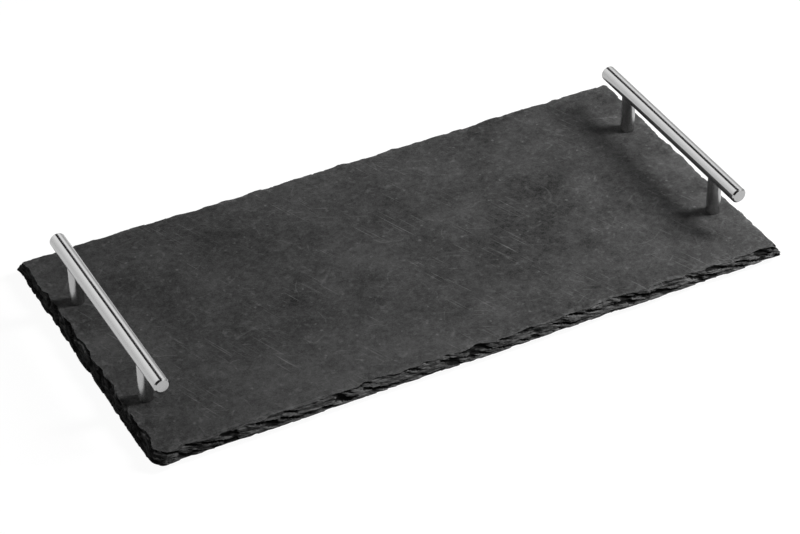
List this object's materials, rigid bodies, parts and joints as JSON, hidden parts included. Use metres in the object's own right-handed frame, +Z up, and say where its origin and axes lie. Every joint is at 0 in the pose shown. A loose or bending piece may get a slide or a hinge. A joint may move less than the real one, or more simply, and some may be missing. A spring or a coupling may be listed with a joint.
{
  "type": "slate serving board",
  "caption": "Rectangular slate serving board with knapped edges, steel bar handles along its short edges and rubber feet below.",
  "frame": {"origin": "on the table under the middle of the board: the centre of the bounding box, at the height of the feet's soles", "axes": "+X along the board to the right, +Y from the front long edge to the rear long edge, +Z up"},
  "size_m": [0.4, 0.198, 0.0417],
  "materials": {
    "slate": "matte",
    "polished_steel": "polished",
    "fixing_steel": "satin",
    "washer_steel": "satin",
    "foot_rubber": "matte"
  },
  "bodies": {
    "root": {"slate_board": "slate", "left_bar_tube": "polished_steel", "right_bar_tube": "polished_steel", "left_rear_end_cap": "polished_steel", "left_front_end_cap": "polished_steel", "right_rear_end_cap": "polished_steel", "right_front_end_cap": "polished_steel", "left_rear_post": "polished_steel", "left_front_post": "polished_steel", "right_rear_post": "polished_steel", "right_front_post": "polished_steel", "left_rear_post_stud": "fixing_steel", "left_front_post_stud": "fixing_steel", "right_rear_post_stud": "fixing_steel", "right_front_post_stud": "fixing_steel", "left_rear_fixing_screw": "fixing_steel", "left_front_fixing_screw": "fixing_steel", "right_rear_fixing_screw": "fixing_steel", "right_front_fixing_screw": "fixing_steel", "left_rear_washer": "washer_steel", "left_front_washer": "washer_steel", "right_rear_washer": "washer_steel", "right_front_washer": "washer_steel", "left_rear_foot": "foot_rubber", "left_front_foot": "foot_rubber", "right_rear_foot": "foot_rubber", "right_front_foot": "foot_rubber"}
  },
  "joints": []
}
